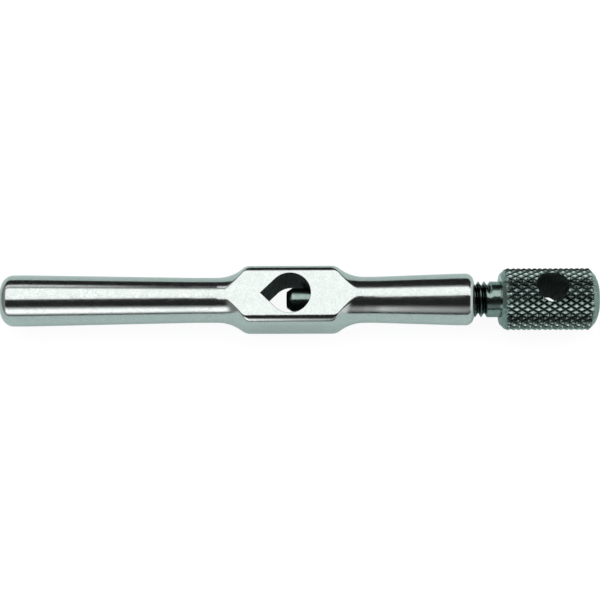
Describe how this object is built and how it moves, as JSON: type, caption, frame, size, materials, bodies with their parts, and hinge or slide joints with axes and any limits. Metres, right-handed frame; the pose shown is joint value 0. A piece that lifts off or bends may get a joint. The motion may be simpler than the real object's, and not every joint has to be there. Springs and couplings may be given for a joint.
{
  "type": "tap wrench",
  "caption": "Small steel bar tap wrench: two turned handles, a flat block with a teardrop tap hole, and a knurled clamping screw.",
  "frame": {"origin": "middle of the whole tool, on the common axis of the handles and the screw", "axes": "+X along the handles towards the knob, +Z along the tap hole, +Y to the back"},
  "size_m": [0.0922, 0.0094, 0.0094],
  "materials": {
    "bright_steel": "turned and polished bright steel",
    "black_steel": "black oxide",
    "black_steel_knurled": "black oxide on diamond knurling"
  },
  "bodies": {
    "handle": {"wrench_body": "bright_steel"},
    "nose": {"nose_pin": "black_steel"},
    "screw": {"clamp_screw": "black_steel", "knurled_knob": "black_steel_knurled"}
  },
  "joints": [
    {"name": "screw_advance", "type": "slide", "parent": "handle", "child": "nose", "axis": [1, 0, 0], "range_m": [-0.0025, 0.0037]},
    {"name": "screw_turn", "type": "hinge", "parent": "nose", "child": "screw", "pos_m": [0.0185, 0, 0], "axis": [1, 0, 0], "range_deg": [-993, 1469]}
  ],
  "couplings": [
    {"joint": "screw_turn", "follows": "screw_advance", "rad_per_m": 6926.3}
  ]
}
